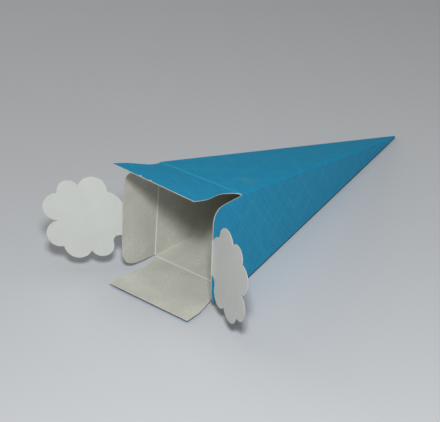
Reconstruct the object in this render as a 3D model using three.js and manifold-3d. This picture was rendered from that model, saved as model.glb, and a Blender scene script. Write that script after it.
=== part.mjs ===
// Cone favour box: a square pyramid folded and glued from one sheet of card, lying open on one wall.
// Millimetres, +Z up. The mouth looks towards -Y and the tip towards +Y. The origin is the centroid of
// the wall that the box lies on, on that wall's outer face.
import * as THREE from 'three';
import { mergeVertices } from 'three/addons/utils/BufferGeometryUtils.js';
import Module from 'manifold-3d';

// Cone
const mouthSide = 50; // outer side of the square mouth
const slantHeight = 176; // along a wall, from its mouth crease to the point where the walls' planes meet
const cardThickness = 0.4;
const mouthFoldRadius = 1; // outside of a long fold at the mouth
const tipFoldRadius = 0.65; // outside of a long fold at the tip

// Glue tab, on the inner face of the right wall, along its fold with the bottom wall
const glueTabWidth = 8;
const glueTabSetback = 4; // from the mouth crease to the tab's near end
const glueTabBevel = 6; // length of the tab's slanted near end
const glueTabTipClearance = 20; // from the tab's far end to the tip
const glueTabTaper = 26; // length of the tab's slanted far end

// Moving creases
const creaseGap = 0.3; // between the rounded edges that face each other across a crease
const closingGap = 5; // between the two cloud creases when both side flaps are shut
const flapWallGap = 0.4; // between a shut side flap and the walls above and below it

// Plain flaps, above and below the mouth
const plainFlapDepth = 32.5;
const waistDistance = 12; // from the crease to the narrowest place
const waistInset = 3.6; // each side, from the mouth's corner
const waistCurve = 4; // from the crease to where the concave curve's two tangents cross
const flareDistance = 24; // from the crease to where the sides turn parallel
const flareInset = 0.7; // each side, from the mouth's corner
const topFlapLift = 3.4; // degrees out of the wall's plane
const bottomFlapLift = 2.3; // degrees up from the table

// Side flaps
const upperCornerRadius = 7.5;
const lowerCornerRadius = 10.5;
const leftFlapAngle = -3.5; // degrees out of the wall's plane, negative when it leans in
const rightFlapAngle = 0.3;

// Cloud tabs. Shares are of the cloud's width up from its neck's middle, of its height out from its fold,
// and of a lobe's chord.
const cloudWidth = 42.4;
const cloudHeight = 38;
const neckWidth = 17;
const neckRise = 1.7; // the neck's middle above the flap's middle
const leftCloudFold = 48.1; // degrees out of the side flap's plane
const rightCloudFold = 55.2;
const cloudLobes = [
  { up: 0.314, out: 0.197, swell: 0.09 },
  { up: 0.366, out: 0.558, swell: 0.42 },
  { up: 0.257, out: 0.816, swell: 0.4 },
  { up: -0.073, out: 0.797, swell: 0.5 },
  { up: -0.384, out: 0.718, swell: 0.52 },
  { up: -0.415, out: 0.374, swell: 0.37 },
  { up: -0.285, out: 0.105, swell: 0.45 },
]; // round the outline from the neck's upper end: the notch in which each lobe ends, and its bulge

// Smoothness and small overlaps
const foldSteps = 6; // facets across a long fold
const noseSteps = 3; // rings of the rounded tip
const edgeSteps = 16; // facets round a creased edge
const curveSteps = 10; // segments in each curve of an outline
const weld = 0.05; // how far joined solids reach into each other
const cutMargin = 1; // how far a cutter reaches past what it cuts

// Worked out from the sizes above
const wallLean = Math.asin(mouthSide / 2 / slantHeight);
const axisLength = slantHeight * Math.cos(wallLean);
const wallReach = cardThickness / Math.cos(wallLean); // the wall's thickness across the mouth
const innerHalfMouth = mouthSide / 2 - wallReach;
const edgeSetback = (creaseGap + cardThickness) / 2; // from a crease's axis to the middle of a rounded edge
const sideFlapDepth = (mouthSide - closingGap) / 2;
const sideFlapHalfWidth = innerHalfMouth - flapWallGap;
const quarterTurn = Math.PI / 2;
const restCentroid = slantHeight / 3;

const wasm = await Module();
wasm.setup();

const blueCard = new THREE.MeshStandardMaterial({ color: 0x2a82ab, roughness: 0.75, metalness: 0 });
const whiteCard = new THREE.MeshStandardMaterial({ color: 0xdcdcd6, roughness: 0.85, metalness: 0 });

// A closed geometry as a manifold-3d solid.
function solidOf(geometry) {
  const bare = geometry.clone();
  bare.deleteAttribute('normal');
  bare.deleteAttribute('uv');
  const merged = mergeVertices(bare);
  const vertProperties = new Float32Array(merged.attributes.position.array);
  const triVerts = new Uint32Array(merged.index.array);
  return new wasm.Manifold(new wasm.Mesh({ numProp: 3, vertProperties, triVerts }));
}

// A manifold-3d solid as a geometry.
function geometryOf(solid) {
  const mesh = solid.getMesh();
  const geometry = new THREE.BufferGeometry();
  geometry.setAttribute('position', new THREE.BufferAttribute(new Float32Array(mesh.vertProperties), 3));
  geometry.setIndex(new THREE.BufferAttribute(new Uint32Array(mesh.triVerts), 1));
  geometry.computeVertexNormals();
  return geometry;
}

// A ring of points round the cone's axis: a square of this half side with rounded corners.
function roundedSquare(y, half, radius) {
  const ring = [];
  for (let corner = 0; corner < 4; corner += 1) {
    const middle = quarterTurn * (corner + 0.5);
    const centreX = Math.SQRT2 * (half - radius) * Math.cos(middle);
    const centreZ = Math.SQRT2 * (half - radius) * Math.sin(middle);
    for (let step = 0; step <= foldSteps; step += 1) {
      const angle = quarterTurn * (corner + step / foldSteps);
      const x = centreX + radius * Math.cos(angle);
      const z = centreZ + radius * Math.sin(angle);
      ring.push(new THREE.Vector3(x, y, z));
    }
  }
  return ring;
}

// A closed body through rings of equal length, the first one nearest the mouth.
function loft(rings) {
  const size = rings[0].length;
  const points = rings.flat();
  const faces = [];
  for (let k = 0; k + 1 < rings.length; k += 1) {
    for (let i = 0; i < size; i += 1) {
      const a = k * size + i;
      const b = k * size + ((i + 1) % size);
      faces.push(a, a + size, b, b, a + size, b + size);
    }
  }
  const last = (rings.length - 1) * size;
  for (let i = 1; i + 1 < size; i += 1) {
    faces.push(0, i, i + 1);
    faces.push(last, last + i + 1, last + i);
  }
  const geometry = new THREE.BufferGeometry().setFromPoints(points);
  geometry.setIndex(faces);
  return geometry;
}

// Half the side of the square between the walls' faces, this far along the axis and this deep in the card.
function halfSide(y, depth) {
  return (mouthSide / 2) * (1 - y / axisLength) - depth / Math.cos(wallLean);
}

// Where along the axis that half side is reached.
function stationOf(half, depth) {
  return axisLength * (1 - (half + depth / Math.cos(wallLean)) / (mouthSide / 2));
}

function coneOutside() {
  const tipStation = stationOf(tipFoldRadius, 0);
  const rings = [roundedSquare(0, halfSide(0, 0), mouthFoldRadius)];
  for (let step = 0; step < noseSteps; step += 1) {
    const angle = (quarterTurn * step) / noseSteps;
    const radius = tipFoldRadius * Math.cos(angle);
    rings.push(roundedSquare(tipStation + tipFoldRadius * Math.sin(angle), radius, radius));
  }
  return loft(rings);
}

function coneInside() {
  const radius = mouthFoldRadius - cardThickness;
  return loft([
    roundedSquare(-cutMargin, halfSide(-cutMargin, cardThickness), radius),
    roundedSquare(stationOf(tipFoldRadius, cardThickness), tipFoldRadius, tipFoldRadius),
  ]);
}

// A group at the mouth crease of the wall turned this far round the cone's axis from the top wall, in the
// middle of the card: x along the crease, y out of the box in the wall's plane, z out of its outer face.
function creaseGroup(turn) {
  const wall = new THREE.Group();
  wall.rotation.y = turn;
  const crease = new THREE.Group();
  crease.rotation.set(-wallLean, 0, Math.PI);
  const inward = cardThickness / 2;
  crease.position.set(0, -inward * Math.sin(wallLean), mouthSide / 2 - inward * Math.cos(wallLean));
  wall.add(crease);
  return { wall, crease };
}

// The same geometry in the cone's frame, turned about the crease by this many degrees.
function onWall(turn, geometry, lift = 0) {
  const { wall, crease } = creaseGroup(turn);
  const hinge = new THREE.Group();
  hinge.rotation.x = THREE.MathUtils.degToRad(lift);
  crease.add(hinge);
  wall.updateMatrixWorld(true);
  return solidOf(geometry.applyMatrix4(hinge.matrixWorld));
}

// A flat piece of card from its outline, in the middle of its thickness.
function plate(outline) {
  const geometry = new THREE.ExtrudeGeometry(outline, {
    depth: cardThickness,
    bevelEnabled: false,
    curveSegments: curveSteps,
  });
  return geometry.translate(0, 0, -cardThickness / 2);
}

// A block between two corners.
function block(low, high) {
  const size = new THREE.Vector3().subVectors(high, low);
  const geometry = new THREE.BoxGeometry(size.x, size.y, size.z);
  return geometry.translate((low.x + high.x) / 2, (low.y + high.y) / 2, (low.z + high.z) / 2);
}

// The rounded edge of the card along a crease, from one x to another at this distance from its axis.
function roundedEdge(fromX, toX, y) {
  const geometry = new THREE.CylinderGeometry(cardThickness / 2, cardThickness / 2, toX - fromX, edgeSteps);
  return geometry.rotateZ(quarterTurn).translate((fromX + toX) / 2, y, 0);
}

// Outline of the flaps above and below the mouth: a waist near the crease, then a flare.
function plainFlapOutline() {
  const root = mouthSide / 2 - wallReach;
  const waist = mouthSide / 2 - waistInset;
  const flare = mouthSide / 2 - flareInset;
  const outline = new THREE.Shape();
  outline.moveTo(-root, 0);
  outline.lineTo(root, 0);
  outline.quadraticCurveTo(waist, waistCurve, waist, waistDistance);
  outline.lineTo(flare, flareDistance);
  outline.lineTo(flare, plainFlapDepth);
  outline.lineTo(-flare, plainFlapDepth);
  outline.lineTo(-flare, flareDistance);
  outline.lineTo(-waist, waistDistance);
  outline.quadraticCurveTo(-waist, waistCurve, -root, 0);
  return outline;
}

// Outline of the glue tab in the right wall's directions, where the bottom wall is at the low end of x.
function glueTabOutline() {
  const fold = (distance) => -(mouthSide / 2) * (1 - distance / slantHeight) + cardThickness - weld;
  const near = glueTabSetback;
  const far = slantHeight - glueTabTipClearance;
  const outline = new THREE.Shape();
  outline.moveTo(fold(near), -near);
  outline.lineTo(fold(near + glueTabBevel) + glueTabWidth, -near - glueTabBevel);
  outline.lineTo(fold(far - glueTabTaper) + glueTabWidth, -far + glueTabTaper);
  outline.lineTo(fold(far), -far);
  outline.closePath();
  return outline;
}

function glueTab() {
  const depth = cardThickness + weld;
  const geometry = new THREE.ExtrudeGeometry(glueTabOutline(), { depth, bevelEnabled: false });
  return geometry.translate(0, 0, -cardThickness / 2 - cardThickness);
}

// The four walls, their glue tab and the two plain flaps: one folded and glued sheet.
function coneBody() {
  let body = solidOf(coneOutside()).subtract(solidOf(coneInside()));
  const deep = cardThickness + cutMargin;
  for (const turn of [-quarterTurn, quarterTurn]) {
    const low = new THREE.Vector3(-innerHalfMouth, -edgeSetback, -deep);
    const high = new THREE.Vector3(innerHalfMouth, cutMargin, deep);
    body = body.subtract(onWall(turn, block(low, high)));
    body = body.add(onWall(turn, roundedEdge(-innerHalfMouth - weld, innerHalfMouth + weld, -edgeSetback)));
  }
  body = body.add(onWall(quarterTurn, glueTab()));
  for (const { turn, lift } of [
    { turn: 0, lift: topFlapLift },
    { turn: Math.PI, lift: -bottomFlapLift },
  ]) {
    body = body.add(onWall(turn, plate(plainFlapOutline()), lift));
    body = body.add(onWall(turn, roundedEdge(-innerHalfMouth, innerHalfMouth, 0)));
  }
  return geometryOf(body);
}

// Outline of a side flap: square at the crease, its outer corners rounded. Up is +x or -x.
function sideFlapOutline(up) {
  const near = edgeSetback;
  const far = sideFlapDepth - edgeSetback;
  const half = sideFlapHalfWidth;
  const outline = new THREE.Shape();
  outline.moveTo(-up * half, near);
  outline.lineTo(up * half, near);
  outline.lineTo(up * half, far - upperCornerRadius);
  outline.quadraticCurveTo(up * half, far, up * (half - upperCornerRadius), far);
  outline.lineTo(-up * (half - lowerCornerRadius), far);
  outline.quadraticCurveTo(-up * half, far, -up * half, far - lowerCornerRadius);
  outline.closePath();
  return outline;
}

function neckEdges(up) {
  const ends = [up * (neckRise - neckWidth / 2), up * (neckRise + neckWidth / 2)];
  return { from: Math.min(...ends), to: Math.max(...ends) };
}

function sideFlap(up) {
  const neck = neckEdges(up);
  const body = solidOf(plate(sideFlapOutline(up)))
    .add(solidOf(roundedEdge(-sideFlapHalfWidth, sideFlapHalfWidth, edgeSetback)))
    .add(solidOf(roundedEdge(neck.from, neck.to, sideFlapDepth - edgeSetback)));
  return geometryOf(body);
}

// Points of the arc over the chord from one point to another, which bulges to the left of the chord by this
// share of its length.
function arcPoints(from, to, swell) {
  const chord = new THREE.Vector2().subVectors(to, from);
  const half = chord.length() / 2;
  const bulge = swell * chord.length();
  const radius = (half * half + bulge * bulge) / (2 * bulge);
  const left = new THREE.Vector2(-chord.y, chord.x).normalize();
  const centre = new THREE.Vector2().lerpVectors(from, to, 0.5).addScaledVector(left, bulge - radius);
  const start = Math.atan2(from.y - centre.y, from.x - centre.x);
  const sweep = 4 * Math.atan2(bulge, half);
  const points = [];
  for (let step = 1; step <= curveSteps; step += 1) {
    const angle = start - (sweep * step) / curveSteps;
    points.push(new THREE.Vector2(centre.x + radius * Math.cos(angle), centre.y + radius * Math.sin(angle)));
  }
  return points;
}

// Outline of a cloud tab: from the neck's upper end round the lobes to the fillet at its lower end. Its
// points are first laid with x down from the neck's middle and y out from the fold.
function cloudOutline(up) {
  const points = [new THREE.Vector2(-neckWidth / 2, edgeSetback)];
  for (const lobe of cloudLobes) {
    const notch = new THREE.Vector2(-lobe.up * cloudWidth, lobe.out * cloudHeight);
    points.push(...arcPoints(points.at(-1), notch, lobe.swell));
  }
  const last = points.at(-1);
  const corner = new THREE.Vector2(neckWidth / 2, last.y);
  const neckEnd = new THREE.Vector2(neckWidth / 2, edgeSetback);
  const fillet = new THREE.QuadraticBezierCurve(last, corner, neckEnd);
  points.push(...fillet.getPoints(curveSteps).slice(1));
  return new THREE.Shape(points.map((point) => new THREE.Vector2(up * (neckRise - point.x), point.y)));
}

function cloudTab(up) {
  const neck = neckEdges(up);
  const body = solidOf(plate(cloudOutline(up))).add(solidOf(roundedEdge(neck.from, neck.to, edgeSetback)));
  return geometryOf(body);
}

// A side flap on its crease with the cloud tab on its fold. Angles in degrees, positive out of the box.
function sideFlapGroup(name, turn, up, flapAngle, cloudFold) {
  const { wall, crease } = creaseGroup(turn);
  const flapHinge = new THREE.Group();
  flapHinge.rotation.x = THREE.MathUtils.degToRad(flapAngle);
  const cloudHinge = new THREE.Group();
  cloudHinge.position.y = sideFlapDepth;
  cloudHinge.rotation.x = THREE.MathUtils.degToRad(cloudFold);
  const flap = new THREE.Mesh(sideFlap(up), blueCard);
  flap.name = `${name}_flap`;
  const cloud = new THREE.Mesh(cloudTab(up), whiteCard);
  cloud.name = `${name}_cloud_tab`;
  cloudHinge.add(cloud);
  flapHinge.add(flap, cloudHinge);
  crease.add(flapHinge);
  return wall;
}

// The cone's axis runs along +Y here, and the group around it lays the bottom wall on the table.
function favourBox() {
  const cone = new THREE.Group();
  const body = new THREE.Mesh(coneBody(), blueCard);
  body.name = 'cone_body';
  cone.add(body);
  cone.add(sideFlapGroup('left', -quarterTurn, -1, leftFlapAngle, leftCloudFold));
  cone.add(sideFlapGroup('right', quarterTurn, 1, rightFlapAngle, rightCloudFold));
  cone.position.z = mouthSide / 2;
  const lying = new THREE.Group();
  lying.add(cone);
  lying.rotation.x = -wallLean;
  lying.position.y = -restCentroid;
  return lying;
}

export default favourBox();
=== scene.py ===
"""A cone favour box of blue card, lying open on a pale table.

The box is one sheet of card, printed blue outside and bare inside, and folded to a square pyramid. Its four
walls are a tube that is drawn in to the tip. Each flap and tab is modelled flat in the frame of its crease,
in metres: x along the crease, y out of the box, z out of the card's outside. It is then folded along its
scored creases and laid in place.
"""

import logging
import math
from collections.abc import Callable, Iterator, Sequence
from contextlib import contextmanager
from dataclasses import dataclass, field
from enum import Enum

import bmesh
import bpy
from mathutils import Matrix, Vector


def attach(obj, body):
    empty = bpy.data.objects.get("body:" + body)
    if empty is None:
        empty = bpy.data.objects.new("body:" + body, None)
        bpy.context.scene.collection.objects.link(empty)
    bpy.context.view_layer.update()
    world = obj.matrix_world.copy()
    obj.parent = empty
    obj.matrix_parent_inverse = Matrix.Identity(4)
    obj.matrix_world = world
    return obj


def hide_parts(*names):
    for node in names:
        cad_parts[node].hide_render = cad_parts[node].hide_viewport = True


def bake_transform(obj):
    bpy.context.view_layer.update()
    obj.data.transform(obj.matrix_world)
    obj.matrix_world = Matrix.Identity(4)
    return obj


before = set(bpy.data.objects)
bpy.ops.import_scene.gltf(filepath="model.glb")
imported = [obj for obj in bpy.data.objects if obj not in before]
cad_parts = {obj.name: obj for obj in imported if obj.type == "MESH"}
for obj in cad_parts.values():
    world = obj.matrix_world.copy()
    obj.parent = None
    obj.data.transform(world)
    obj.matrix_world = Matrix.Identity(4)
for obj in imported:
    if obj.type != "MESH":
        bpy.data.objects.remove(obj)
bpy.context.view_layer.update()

MM = 0.001
SAME_PLACE = 1e-6  # closer than this, two points count as one
SMOOTH_BELOW = math.radians(30)  # faces that meet at less than this are shaded as one
SCORE_REACH = 0.9 * MM  # over which a scored crease turns
CREASE_STEPS = 6  # rows over a scored crease
BLANK_UV = "blank"  # the flat sheet with its four walls fanned out round the tip
WALL_UV = "wall"  # each wall's own crease frame
DEPTH = "card_depth"  # -0.5 on the card's inside, 0.5 on its outside
CREASE_HIGHLIGHT = "crease_highlight_share"  # how strong the painted highlight along a piece's own crease is, up to 1
SEAM = "seam_edge"  # 1 on the glued seam's lower edge, where a shade line is painted, 0 elsewhere

MeshElement = bmesh.types.BMVert | bmesh.types.BMEdge | bmesh.types.BMFace
Socket = bpy.types.NodeSocket
Colour = tuple[float, float, float, float]

log = logging.getLogger("cone_favour_box")


class Wall(Enum):
    """The cone's walls, by quarter turns round its axis from the top one."""

    TOP = 0
    RIGHT = 1
    BOTTOM = 2
    LEFT = -1


class Layer(Enum):
    """Material slots of a card piece."""

    OUTSIDE = 0
    INSIDE = 1
    CUT_EDGE = 2


class Element(Enum):
    """What an edit-mode selection is made of."""

    VERTICES = "VERT"
    EDGES = "EDGE"
    FACES = "FACE"


# Modelling helpers


def only(piece: bpy.types.Object) -> None:
    """Leaves one piece alone selected and active.

    Args:
        piece: The object.
    """
    bpy.ops.object.select_all(action="DESELECT")
    piece.select_set(True)
    bpy.context.view_layer.objects.active = piece


@contextmanager
def editing(piece: bpy.types.Object, element: Element = Element.VERTICES) -> Iterator[None]:
    """Opens a piece in edit mode with nothing selected.

    Args:
        piece: The object to edit.
        element: What selections are made of.

    Yields:
        Nothing, while the piece is open.
    """
    only(piece)
    bpy.ops.object.mode_set(mode="EDIT")
    bpy.ops.mesh.select_mode(type=element.value)
    bpy.ops.mesh.select_all(action="DESELECT")
    yield
    bpy.ops.object.mode_set(mode="OBJECT")


def middle_of(element: MeshElement) -> Vector:
    """The middle of a vertex, an edge or a face.

    Args:
        element: Any of the three.

    Returns:
        Its middle, in the mesh's coordinates.
    """
    if isinstance(element, bmesh.types.BMVert):
        return element.co
    corners = [vertex.co for vertex in element.verts]
    return sum(corners, Vector()) / len(corners)


def pick(piece: bpy.types.Object, element: Element, test: Callable[[Vector, MeshElement], bool]) -> None:
    """Selects what passes a test, in edit mode.

    Args:
        piece: The object in edit mode.
        element: Vertices, edges or faces.
        test: Takes the middle of an element and the element itself.
    """
    bpy.ops.mesh.select_mode(type=element.value)
    bpy.ops.mesh.select_all(action="DESELECT")
    mesh = bmesh.from_edit_mesh(piece.data)
    layers = {Element.VERTICES: mesh.verts, Element.EDGES: mesh.edges, Element.FACES: mesh.faces}
    for item in layers[element]:
        item.select_set(bool(test(middle_of(item), item)))
    mesh.select_flush_mode()
    bmesh.update_edit_mesh(piece.data)


def plane(name: str, width: float, depth: float, middle: Vector) -> bpy.types.Object:
    """A rectangle in the XY plane, with its place in its mesh.

    Args:
        name: The piece's name.
        width: Along X, in metres.
        depth: Along Y, in metres.
        middle: Its middle.

    Returns:
        The new object, at the origin.
    """
    bpy.ops.object.select_all(action="DESELECT")
    bpy.ops.mesh.primitive_plane_add(size=1, location=middle)
    piece = bpy.context.object
    piece.name = name
    piece.scale = (width, depth, 1)
    bpy.ops.object.transform_apply(location=True, rotation=True, scale=True)
    return piece


def apply_modifier(piece: bpy.types.Object, kind: str, **settings: object) -> None:
    """Adds a modifier and applies it.

    Args:
        piece: The object.
        kind: The modifier's type.
        settings: Its attributes.
    """
    only(piece)
    modifier = piece.modifiers.new(kind.lower(), kind)
    for key, value in settings.items():
        setattr(modifier, key, value)
    bpy.ops.object.modifier_apply(modifier=modifier.name)


def smooth(piece: bpy.types.Object) -> None:
    """Shades a piece smooth, apart from its sharp edges."""
    only(piece)
    bpy.ops.object.shade_smooth_by_angle(angle=SMOOTH_BELOW)


def empty_slots(mesh: bpy.types.Mesh) -> None:
    """Gives a mesh one empty material slot for each layer.

    Args:
        mesh: The mesh.
    """
    mesh.materials.clear()
    for _ in Layer:
        mesh.materials.append(None)


def new_maps(mesh: bpy.types.Mesh) -> tuple[bpy.types.MeshUVLoopLayer, bpy.types.MeshUVLoopLayer]:
    """Puts two empty UV maps in place of those that a mesh has.

    Args:
        mesh: The mesh.

    Returns:
        The map of the blank and the map of the wall.
    """
    while mesh.uv_layers:
        mesh.uv_layers.remove(mesh.uv_layers[0])
    return mesh.uv_layers.new(name=BLANK_UV), mesh.uv_layers.new(name=WALL_UV)


def smoothstep(share: float) -> float:
    """A smooth step from 0 to 1 while the share goes from 0 to 1."""
    share = min(max(share, 0.0), 1.0)
    return share * share * (3 - 2 * share)


def turned(point: Vector, centre_y: float, angle: float) -> Vector:
    """A point turned about a line along X, positive towards +Z.

    Args:
        point: The point.
        centre_y: The line's y. Its z is 0.
        angle: In radians.

    Returns:
        The turned point.
    """
    y, z = point.y - centre_y, point.z
    cosine, sine = math.cos(angle), math.sin(angle)
    return Vector((point.x, centre_y + cosine * y - sine * z, sine * y + cosine * z))


def crease_rows(start: float = 0.0) -> set[float]:
    """Distances of the close rows over a scored crease that starts here."""
    return {start + SCORE_REACH * step / CREASE_STEPS for step in range(CREASE_STEPS + 1)}


# The folded form


@dataclass(frozen=True)
class Cone:
    """The square pyramid that the card is folded to, and the places that follow from it."""

    mouth_side: float = 50 * MM
    slant: float = 176 * MM  # along a wall, from its mouth crease to the point where the walls' planes meet
    card: float = 0.4 * MM
    mouth_fold: float = 1 * MM  # outside radius of a long fold at the mouth
    tip_fold: float = 0.65 * MM
    rest_share: float = 1 / 3  # of the slant, from the mouth to the resting wall's centroid

    @property
    def lean(self) -> float:
        """A wall's angle to the axis."""
        return math.asin(self.mouth_side / 2 / self.slant)

    @property
    def fan(self) -> float:
        """The angle between the middle lines of neighbouring walls in the flat blank."""
        return 2 * math.atan(self.mouth_side / 2 / self.slant)

    @property
    def axis_length(self) -> float:
        """From the mouth to the point where the walls' planes meet, along the axis."""
        return self.slant * math.cos(self.lean)

    @property
    def wall_reach(self) -> float:
        """The card's thickness across the mouth."""
        return self.card / math.cos(self.lean)

    @property
    def inner_half(self) -> float:
        """Half of the mouth's inner side."""
        return self.mouth_side / 2 - self.wall_reach

    def half_side(self, y: float, depth: float) -> float:
        """Half the side of the square this far along the axis and this deep in the card."""
        return (self.mouth_side / 2) * (1 - y / self.axis_length) - depth / math.cos(self.lean)

    def station(self, half: float, depth: float = 0.0) -> float:
        """How far along the axis a square this deep in the card has this half side."""
        return self.axis_length * (1 - (half + depth / math.cos(self.lean)) / (self.mouth_side / 2))

    def lying(self) -> Matrix:
        """From the cone's own frame, with its axis along +Y, to the row frame.

        Returns:
            The matrix.
        """
        back = Matrix.Translation((0, -self.slant * self.rest_share, 0))
        tipped = Matrix.Rotation(-self.lean, 4, "X")
        return back @ tipped @ Matrix.Translation((0, 0, self.mouth_side / 2))

    def crease_in_cone(self, wall: Wall) -> Matrix:
        """From a wall's crease frame, in the middle of the card, to the cone's own frame.

        Args:
            wall: The wall.

        Returns:
            The matrix.
        """
        inward = self.card / 2
        place = Vector((0, -inward * math.sin(self.lean), self.mouth_side / 2 - inward * math.cos(self.lean)))
        tilt = Matrix.Rotation(-self.lean, 4, "X") @ Matrix.Rotation(math.pi, 4, "Z")
        turn = Matrix.Rotation(wall.value * math.pi / 2, 4, "Y")
        return turn @ Matrix.Translation(place) @ tilt

    def crease(self, wall: Wall) -> Matrix:
        """From a wall's crease frame to the row frame."""
        return self.lying() @ self.crease_in_cone(wall)

    def in_row(self, wall: Wall, point: Vector) -> Vector:
        """A point of a wall's crease frame in the row frame."""
        return self.crease(wall) @ point

    def on_blank(self, wall: Wall, x: float, y: float) -> Vector:
        """A point of a wall or its flap on the flat blank, whose origin is the tip.

        Args:
            wall: The wall.
            x: Along its crease.
            y: Out of the box.

        Returns:
            The place on the blank.
        """
        local = Vector((-x, -y - self.slant))
        turn = wall.value * self.fan
        cosine, sine = math.cos(turn), math.sin(turn)
        return Vector((cosine * local.x - sine * local.y, sine * local.x + cosine * local.y))


CONE = Cone()


# Shader building


class Graph:
    """Adds nodes to a tree and links them."""

    def __init__(self, tree: bpy.types.NodeTree) -> None:
        """Starts on an empty tree."""
        self.tree = tree
        tree.nodes.clear()

    def add(self, kind: str, settings: dict[str, object] | None = None, **inputs: object) -> bpy.types.Node:
        """Adds a node.

        Args:
            kind: The node's type name.
            settings: Attributes of the node itself.
            inputs: Values or sockets for its inputs, where a space in a name is written as an underscore.

        Returns:
            The node.
        """
        node = self.tree.nodes.new(kind)
        for key, value in (settings or {}).items():
            setattr(node, key, value)
        for key, value in inputs.items():
            self.feed(node.inputs[key.replace("_", " ")], value)
        return node

    def feed(self, socket: Socket, value: object) -> None:
        """Links a socket to an input, or sets its value.

        Args:
            socket: The input.
            value: Another node's output, or the value.
        """
        if isinstance(value, Socket):
            self.tree.links.new(value, socket)
        else:
            socket.default_value = value

    def math(self, operation: str, *values: object) -> Socket:
        """A Math node.

        Args:
            operation: Its operation.
            values: Its inputs, in their order.

        Returns:
            The result.
        """
        node = self.add("ShaderNodeMath", {"operation": operation})
        for socket, value in zip(node.inputs, values):
            self.feed(socket, value)
        return node.outputs[0]

    def ramp(
        self, value: object, low: object, high: object, to_low: float = 0.0, to_high: float = 1.0
    ) -> Socket:
        """A smooth step.

        Args:
            value: What it follows.
            low: Where the step starts.
            high: Where it ends.
            to_low: The result at its start.
            to_high: The result at its end.

        Returns:
            The result.
        """
        node = self.add("ShaderNodeMapRange", {"interpolation_type": "SMOOTHSTEP"})
        names = ("Value", "From Min", "From Max", "To Min", "To Max")
        for name, entry in zip(names, (value, low, high, to_low, to_high)):
            self.feed(node.inputs[name], entry)
        return node.outputs[0]

    def noise(self, vector: object, scale: float, detail: float = 2.0, roughness: float = 0.5) -> Socket:
        """The value of a Noise texture."""
        node = self.add("ShaderNodeTexNoise", Vector=vector, Scale=scale, Detail=detail, Roughness=roughness)
        return node.outputs[0]

    def mix(self, factor: object, first: object, second: object) -> Socket:
        """A mix of two colours.

        Args:
            factor: The second one's share.
            first: The colour at 0.
            second: The colour at 1.

        Returns:
            The mixed colour.
        """
        node = self.add("ShaderNodeMix", {"data_type": "RGBA", "clamp_factor": True})
        colour_inputs = (node.inputs[0], node.inputs[6], node.inputs[7])
        for socket, value in zip(colour_inputs, (factor, first, second)):
            self.feed(socket, value)
        return node.outputs[2]

    def vector(self, x: object, y: object, z: object = 0.0) -> Socket:
        """A vector from three values."""
        return self.add("ShaderNodeCombineXYZ", X=x, Y=y, Z=z).outputs[0]

    def parts(self, vector: object) -> bpy.types.NodeOutputs:
        """The X, Y and Z sockets of a vector."""
        return self.add("ShaderNodeSeparateXYZ", Vector=vector).outputs

    def scaled(self, vector: object, factor: object) -> Socket:
        """A vector times a value."""
        settings = {"operation": "SCALE"}
        return self.add("ShaderNodeVectorMath", settings, Vector=vector, Scale=factor).outputs[0]

    def attribute(self, name: str) -> Socket:
        """A value kept on the mesh, or 0 where the mesh doesn't have it."""
        return self.add("ShaderNodeAttribute", {"attribute_name": name}).outputs["Fac"]

    def map_in_mm(self, name: str) -> Socket:
        """A UV map's coordinates in millimetres."""
        return self.scaled(self.add("ShaderNodeUVMap", {"uv_map": name}).outputs[0], 1 / MM)

    def turned(self, vector: object, degrees: float) -> Socket:
        """A vector turned about Z.

        Args:
            vector: The vector.
            degrees: The angle of the line that comes to lie along X.

        Returns:
            The turned vector.
        """
        settings = {"rotation_type": "Z_AXIS"}
        node = self.add("ShaderNodeVectorRotate", settings, Vector=vector, Angle=math.radians(-degrees))
        return node.outputs[0]

    def bump(self, height: object, strength: float, distance: float) -> Socket:
        """The normal over a height, with a full step of this many metres."""
        node = self.add("ShaderNodeBump", Strength=strength, Distance=distance, Height=height)
        return node.outputs[0]

    def group(self, tree: bpy.types.NodeTree, **inputs: object) -> bpy.types.NodeOutputs:
        """The outputs of a placed node group."""
        return self.add("ShaderNodeGroup", {"node_tree": tree}, **inputs).outputs


class GroupGraph(Graph):
    """The inside of a new shader group, with its inputs as `given` and its outputs as `result`."""

    def __init__(self, name: str, inputs: dict[str, float | None], outputs: Sequence[str]) -> None:
        """Makes the group.

        Args:
            name: The group's name.
            inputs: Each input's name with its default, or None for a vector.
            outputs: Names of the value outputs.
        """
        super().__init__(bpy.data.node_groups.new(name, "ShaderNodeTree"))
        for label, default in inputs.items():
            kind = "NodeSocketVector" if default is None else "NodeSocketFloat"
            socket = self.tree.interface.new_socket(label, in_out="INPUT", socket_type=kind)
            if default is not None:
                socket.default_value = default
        for label in outputs:
            self.tree.interface.new_socket(label, in_out="OUTPUT", socket_type="NodeSocketFloat")
        self.given = self.add("NodeGroupInput").outputs
        self.result = self.add("NodeGroupOutput").inputs


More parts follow.
